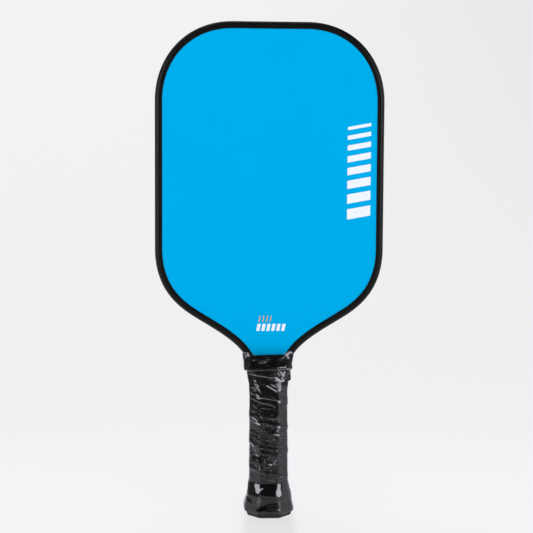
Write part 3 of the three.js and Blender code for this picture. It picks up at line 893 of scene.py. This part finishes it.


# Where the film is folded over itself or stretched milky on the front, and painted highlights: from X
# and Z, to X and Z, how wide, all in millimetres, and how milky and bright. Most slant down to the
# right, as the wrap pulls the film.
FOLDS = [
    (-19.5, 137.6, -17.8, 138.6, 0.9, 0.7),
    (-19, 135.6, -17, 136.6, 0.8, 0.5),
    (-17.2, 138, -16.2, 136, 0.8, 0.6),
    (14.6, 136.6, 19.4, 138.2, 2.3, 0.6),
    (12.8, 134.4, 15.4, 136.4, 0.9, 0.6),
    (15.4, 136.2, 17, 133.6, 1.1, 0.55),
    (-14.5, 134.6, -12.8, 133, 0.9, 0.5),
    (-11.8, 133.8, -11, 132.4, 0.9, 0.7),
    (-9, 131.2, -4.5, 132.2, 0.9, 0.16),
    (-4.5, 132.2, 0.8, 133.4, 1.1, 0.2),
    (-7.5, 130.4, -2, 131, 0.9, 0.27),
    (8.5, 132.9, 12, 133, 1.6, 0.14),
    (-18, 124.4, 18, 124.7, 1.1, 0.16),
    (8, 126.4, 14.5, 126.6, 0.8, 0.55),
    (-16.5, 122, -4, 120.4, 0.9, 0.3),
    (-4, 120.4, 5.8, 119.2, 0.9, 0.3),
    (6.6, 122.8, 9, 121.4, 0.8, 0.6),
    (8.2, 124.2, 11, 121.8, 0.9, 0.5),
    (11, 121.8, 13, 122.8, 1.4, 0.5),
    (12.4, 121.4, 10.4, 119.2, 0.9, 0.55),
    (10.4, 119.2, 12.8, 117.4, 0.8, 0.5),
    (5.2, 120, 8.4, 118.4, 0.8, 0.7),
    (5.6, 117.8, 11.6, 116.8, 1.7, 0.5),
    (8.3, 115.6, 8.6, 112, 3.5, 0.42),
    (8.6, 112, 8.8, 109, 3, 0.42),
    (-2, 112.8, 6.4, 107.8, 0.75, 0.75),
    (2.4, 113.6, 5.6, 111.4, 0.75, 0.55),
    (4.2, 112.2, 5.8, 113.8, 0.7, 0.4),
    (-12.2, 116.8, -11, 115.8, 0.9, 0.6),
    (-12, 113.6, -8.8, 112.6, 0.8, 0.55),
    (-8.8, 112.6, -9.6, 110.8, 0.8, 0.5),
    (-11, 111.6, -8.6, 109.4, 0.9, 0.55),
    (-8.6, 109.4, -7.6, 108.2, 0.8, 0.6),
    (-14, 110.4, -11.6, 109, 0.8, 0.4),
    (-12.6, 107.4, -10.4, 108.4, 0.7, 0.35),
    (-15.8, 106, -12.4, 104, 0.8, 0.4),
    (-10.4, 104.6, -8.4, 103.8, 0.9, 0.6),
    (-9.6, 102.4, -8, 101.6, 1.1, 0.6),
    (-15.6, 101, -11, 99.6, 0.7, 0.3),
    (-7.4, 102.6, 1, 101.2, 0.9, 0.3),
    (1, 101.2, 9.6, 99.8, 0.9, 0.26),
    (7.6, 99, 9, 98.5, 1.3, 0.55),
    (-9.6, 98.4, 2.6, 96.2, 0.95, 0.28),
    (2.6, 96.2, 5.2, 94.2, 0.8, 0.3),
    (-6, 93.6, 1.4, 92.6, 0.8, 0.2),
    (-13, 95.4, -10.6, 93, 0.8, 0.3),
    (-14.4, 90, -11.6, 89, 0.7, 0.3),
    (-6.4, 85.4, 8.4, 83.6, 2.4, 0.13),
    (-14.8, 84.8, -10.8, 83.6, 0.8, 0.5),
    (-10.8, 83.6, -9.4, 81.8, 0.8, 0.45),
    (-14, 81.8, -10.6, 79.8, 0.7, 0.35),
    (-10.2, 80.8, -8, 79.8, 1.3, 0.7),
    (7.6, 77.8, 8.9, 77, 1.3, 0.55),
    (7.4, 75.4, 8.6, 75.2, 0.8, 0.3),
    (4.6, 71.4, 9, 70.4, 0.9, 0.5),
    (6, 73.8, 8.4, 74.6, 0.8, 0.4),
    (-15.2, 62.8, -13.4, 61.6, 0.8, 0.5),
    (-13.4, 61.6, -12.6, 59.8, 0.9, 0.6),
    (-12, 58.4, -10.6, 56.2, 0.7, 0.4),
    (-10.2, 53.8, -9.2, 52.8, 1.1, 0.5),
    (0.6, 46.2, 2.4, 45.4, 0.9, 0.6),
    (4, 47.6, 5.4, 46.2, 0.8, 0.5),
    (5.4, 49.8, 6.8, 48.4, 0.7, 0.5),
    (-14.8, 40, -12.6, 38.8, 0.7, 0.3),
    (-9.8, 27, -8.8, 24.6, 3.9, 0.6),
    (-9.6, 23.6, -9, 22.6, 3, 0.6),
    (-8.4, 22.6, -4.8, 25.8, 0.75, 0.6),
    (8.8, 27.6, 8.6, 24.8, 3, 0.6),
    (8.5, 22.6, 8.8, 20.8, 4.6, 0.6),
    (-6.4, 19.2, 7, 18.2, 0.8, 0.2),
    (6.6, 8.6, 9, 8, 0.8, 0.3),
]

# Where the film clings to the wrap on the front, and so looks black, with how strongly it clings.
CLINGS = [
    (-5.5, 117, 3, 114.4, 4.4, 1),
    (-5, 110.4, 3.6, 106.6, 5, 1),
    (-15.8, 108, -14.4, 103, 1.5, 1),
    (-15.5, 101.4, -9.8, 98.8, 1.2, 1),
    (-5, 99.6, 6.4, 98.2, 1.5, 1),
    (-4.4, 92.4, 5.2, 91.4, 5, 1),
    (-4, 88.4, 5.2, 88, 3.6, 1),
    (-7.4, 82.6, 8.2, 80.2, 1.6, 1),
    (-2, 76, 5, 73.4, 3.6, 1),
    (-14, 73.6, -8.4, 71.6, 1.2, 1),
    (-15.6, 67, -13, 63.8, 1.1, 1),
    (-7, 61.2, 6.2, 59.6, 2, 1),
    (-6, 57.2, 0.2, 55.4, 2.6, 1),
    (-5.6, 52.6, -1, 51.6, 1.5, 1),
    (-1, 47.8, 3.2, 46.8, 1.8, 1),
    (-14, 44, -11, 41.6, 1.1, 1),
    (-3, 40, 9.2, 38, 1.3, 1),
    (-1.6, 39, -0.4, 36.8, 1.3, 1),
    (-17.6, 15, -15, 13.6, 2.8, 1.8),
    (-8.4, 8.4, -3.4, 9.6, 4.2, 1.8),
    (-2, 11.8, 8, 13.2, 1.4, 1.8),
    (-1.5, 9.7, 8.2, 10.7, 1.6, 1.8),
    (-2, 7.4, 7.6, 8.2, 1.6, 1.8),
]

# How much lower the back has the front's strokes.
BACK_DROP = 5 * MM


def painted(points, z, strokes):
    """How strong the strokes of a table are at each point of a ring."""
    front = points[:, 1] < 0
    x = np.where(front, points[:, 0], -points[:, 0])
    height = np.where(front, z, z + BACK_DROP)
    total = np.zeros(len(points))
    for x_from, z_from, x_to, z_to, width, strength in strokes:
        start = np.array([x_from, z_from]) * MM
        run = np.array([x_to, z_to]) * MM - start
        share = ((x - start[0]) * run[0] + (height - start[1]) * run[1]) / (run @ run)
        share = np.clip(share, 0, 1)
        away = np.hypot(x - start[0] - share * run[0], height - start[1] - share * run[1])
        half = width * MM / 2
        inside = 1 - smoothstep(away, half - 0.2 * MM, half + 0.25 * MM)
        total = np.maximum(total, strength * inside)
    return total


def looseness(points, z):
    """How much more the film stands off the wrap than on average: less where it is pulled tight."""
    front = 1 - smoothstep(np.abs(points[:, 0]), 7 * MM, 9.5 * MM)
    upper = smoothstep(z, 74 * MM, 90 * MM)
    middle = front * (0.05 - 0.18 * upper)
    left = smoothstep(-points[:, 0], 7 * MM, 9.5 * MM) * (0.07 - 0.36 * smoothstep(z, 74 * MM, 98 * MM))
    right = smoothstep(points[:, 0], 7 * MM, 9.5 * MM)
    right_bevel = 0.3 * right * smoothstep(-points[:, 1], 3 * MM, 7 * MM)
    right_bevel = right_bevel * (1 - smoothstep(z, 104 * MM, 116 * MM))
    plain = 0.3 * smoothstep(z, 29 * MM, 31 * MM) * (1 - smoothstep(z, 36 * MM, 41 * MM))
    foot = 0.3 * (1 - smoothstep(z, 17 * MM, 19 * MM))
    stretched = -0.4 * smoothstep(z, 125 * MM, 126 * MM)
    loose = middle + left + right_bevel + plain + foot + stretched - 0.4 * painted(points, z, CLINGS)
    band = smoothstep(z, 18 * MM, 18.8 * MM) * (1 - smoothstep(z, 28.8 * MM, 29.6 * MM))
    band = band * (1 - smoothstep(points[:, 0], 11.2 * MM, 12 * MM))
    return loose * (1 - band) - 0.6 * band


def corner_flap(points):
    """How far the film's top edge stands up and out at the collar's two ends."""
    near_end = np.exp(-(((np.abs(points[:, 0]) - 18.5 * MM) / (3.2 * MM)) ** 2))
    towards_front = 0.55 - 0.45 * np.sign(points[:, 1])
    return near_end * towards_front


def film():
    """The clear film: close to the wrap, creased, and standing up in small flaps above the collar."""
    foot = FILM_FOOT - 0.6 * MM
    row_gap = 0.34 * MM
    crease_height = 0.38 * MM
    fold_height = 0.3 * MM
    flap_up = 2.4 * MM
    flap_out = 0.5 * MM
    torn_top = 0.9 * MM
    torn_foot = 1 * MM
    rings, milky, loose = [], [], []
    for z in np.arange(foot, FILM_TOP, row_gap):
        points, normals = film_base(z)
        shares = np.arange(len(points)) / len(points)
        seam = seam_lift(turn_phase(z, shares)) * seam_fade(z)
        tight = smoothstep(z, 14 * MM, 17 * MM) * (1 - smoothstep(z, 27 * MM, 30 * MM))
        crease = np.array([crease_field(*p, z) for p in points])
        # The strokes raise folds and also carry painted highlights.
        fold = painted(points, z, FOLDS)
        loose.append(looseness(points, z))
        out = seam + crease_height * crease * (1 - 0.95 * tight) + fold_height * fold
        rise = float(smoothstep(z, COLLAR_TOP - 2.5 * MM, FILM_TOP))
        flap = corner_flap(points) * rise
        edge = np.array([noise.noise(Vector((p[0] * 300, p[1] * 300, 3))) for p in points])
        level = z + pulled_up(points, z) + flap * flap_up + rise * edge * torn_top
        level = level + (1 - smoothstep(z, foot, foot + 2 * MM)) * edge * torn_foot
        points = points + normals * (out + flap * flap_out)[:, None] + [COLLAR_SHIFT * on_collar(z), 0]
        rings.append(lift(points, level))
        milky.append(np.maximum(fold, 0.12 * flap))
    piece = skin("crinkled_film", rings)
    for name, values in (("fold", milky), ("loose", loose)):
        layer = piece.data.attributes.new(name, "FLOAT", "POINT")
        layer.data.foreach_set("value", np.concatenate(values).astype(np.float32))
    finish_piece(piece, film_look(), "handle_film")


# ---- CAD nodes that keep their shape ----


def dress_frame():
    """Materials for the CAD nodes that stay: what is inside the paddle, and the badge."""
    handle = moulding_look("handle_moulding", (0.04, 0.04, 0.043), 0.5)
    looks = (
        (core_look(), ["honeycomb_core"]),
        (bond_look(), ["front_bond_film", "back_bond_film"]),
        (laminate_look(), ["front_face_sheet", "back_face_sheet"]),
        (handle, ["front_handle_half", "back_handle_half"]),
        (steel_look(), ["cap_staple_right", "cap_staple_left", "wrap_staple"]),
        (badge_look(), ["butt_cap_badge"]),
    )
    for material, nodes in looks:
        for node in nodes:
            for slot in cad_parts[node].material_slots:
                slot.material = material


# ---- studio ----


def cyclorama():
    """A pale floor that curves up into a pale wall behind the paddle. It glows a little, as white paper
    does in a bright room, and so it has the same tone near and far."""
    radius = 1.2
    wall = 2.4
    wall_top = 5.0
    half_width = 12.0
    profile = [(-half_width, 0.0), (wall - radius, 0.0)]
    for t in np.linspace(0, math.pi / 2, 24)[1:]:
        profile.append((wall - radius + radius * math.sin(t), radius * (1 - math.cos(t))))
    profile.append((wall, wall_top))
    vertices = [(x, y, z) for y, z in profile for x in (-half_width, half_width)]
    faces = [(2 * i, 2 * i + 1, 2 * i + 3, 2 * i + 2) for i in range(len(profile) - 1)]
    floor = new_piece("studio_floor", vertices, faces)
    look = Look("studio_paper", (0.34, 0.34, 0.345), 0.9, specular=0.0)
    look.set("Emission Color", (0.985, 0.98, 1, 1))
    length = look.nodes.new("ShaderNodeVectorMath")
    length.operation = "LENGTH"
    look.link(look.place, length.inputs[0])
    away = length.outputs["Value"]
    glow = look.spread(away, 0.5, 2.6, 0.598, 0.617, True)
    glow = look.math("ADD", glow, look.spread(away, 3.2, 7, 0, 0.07, True))
    # Near the butt the paper is darker and glows more, painted light that keeps the shadow at its foot
    # weak.
    glow = look.math("ADD", glow, look.spread(away, 0.1, 0.46, 0.155, 0, True))
    look.drive("Base Color", look.spread(away, 0.08, 0.45, 0.18, 0.34, True))
    place = look.split(look.place)
    # Painted shadow: a soft dark streak runs from the butt towards the camera, as wide as the butt.
    before = look.spread(place["Y"], 0, -0.02, 0, 1)
    fading = look.spread(place["Y"], -0.18, -0.06, 0, 0.11, True)
    across = look.spread(look.math("ABSOLUTE", place["X"]), 0.016, 0.026, 1, 0, True)
    streak = look.math("MULTIPLY", look.math("MULTIPLY", before, fading), across)
    glow = look.math("SUBTRACT", glow, streak)
    # Painted shade: the wall darkens towards its upper right corner.
    corner = look.math("MULTIPLY", place["X"], place["Z"])
    glow = look.math("SUBTRACT", glow, look.spread(corner, 0, 1, 0, 0.07))
    look.drive("Emission Strength", glow)
    look.relief(look.noise(20 * MM, 2), 0.2 * MM, 0.05)
    floor.data.materials.append(look.material)
    floor.visible_glossy = False


def softbox(name, place, aim, width, height, power, shadow=True):
    """A rectangular lamp at a place, aimed at another."""
    light = bpy.data.lights.new(name, "AREA")
    light.shape = "RECTANGLE"
    light.size = width
    light.size_y = height
    light.energy = power
    light.use_shadow = shadow
    lamp = bpy.data.objects.new(name, light)
    lamp.location = place
    lamp.rotation_euler = (Vector(aim) - Vector(place)).to_track_quat("-Z", "Y").to_euler()
    bpy.context.scene.collection.objects.link(lamp)
    return lamp


def studio_light():
    """Two tall softboxes, a high one that leaves no reflection, and one for the wall. The surround is
    white to the eye, softer as a light, and in reflections dark behind the camera and overhead, as the
    room round a photographer is."""
    middle = (0, 0, 0.25)
    softbox("left_softbox", (-0.95, -0.95, 0.52), middle, 0.5, 0.85, 5.0, shadow=False)
    softbox("right_softbox", (0.95, -0.95, 0.52), middle, 0.5, 0.85, 4.6, shadow=False)
    high_box = softbox("high_softbox", (0, -1.3, 1.05), middle, 1.4, 0.5, 3.8, shadow=False)
    high_box.visible_glossy = False
    softbox("wall_softbox", (-0.9, 0.6, 2.6), (-0.6, 1.9, 0.6), 3.0, 1.0, 14)
    world = bpy.data.worlds.new("studio_surround")
    world.use_nodes = True
    bpy.context.scene.world = world
    sky = Recipe(world.node_tree)
    background = next(n for n in sky.nodes if n.type == "BACKGROUND")
    background.inputs["Color"].default_value = (0.98, 0.98, 1, 1)
    towards = sky.split(sky.nodes.new("ShaderNodeTexCoord").outputs["Generated"])
    aside = sky.spread(towards["Y"], -0.93, -0.3, 0.01, 0.5)
    ceiling = sky.spread(towards["Z"], 0.15, 0.6, 1.0, 0.05)
    below = sky.spread(towards["Z"], -0.06, -0.2, 0.0, 0.36)
    reflected = sky.math("MAXIMUM", sky.math("MULTIPLY", aside, ceiling), below)
    rays = sky.nodes.new("ShaderNodeLightPath").outputs
    unseen = sky.mix(rays["Is Glossy Ray"], 0.5, reflected)
    sky.link(sky.mix(rays["Is Camera Ray"], unseen, 0.885), background.inputs["Strength"])


def camera():
    """The photograph's viewpoint: a little left of the middle, level with the shoulders, tilted down."""
    place = Vector((-0.0348, -0.86, 0.2653))
    forward = Vector((0.0379, 0.9974, -0.0619)).normalized()
    right = forward.cross(Vector((0, 0, 1))).normalized()
    up = right.cross(forward)
    turn = Matrix((right, up, -forward)).transposed().to_4x4()
    roll = Matrix.Rotation(math.radians(0.31), 4, "Z")
    data = bpy.data.cameras.new("camera")
    data.sensor_width = 36
    data.lens = 68.8
    view = bpy.data.objects.new("camera", data)
    view.matrix_world = Matrix.Translation(place) @ turn @ roll
    bpy.context.scene.collection.objects.link(view)
    bpy.context.scene.camera = view


camera()
studio_light()
cyclorama()
bpy.context.scene.view_settings.view_transform = "Standard"

edge_guard()
printed_faces()
printed_bars()
grip_wrap()
finishing_tape()
collar()
butt_cap()
film()
dress_frame()
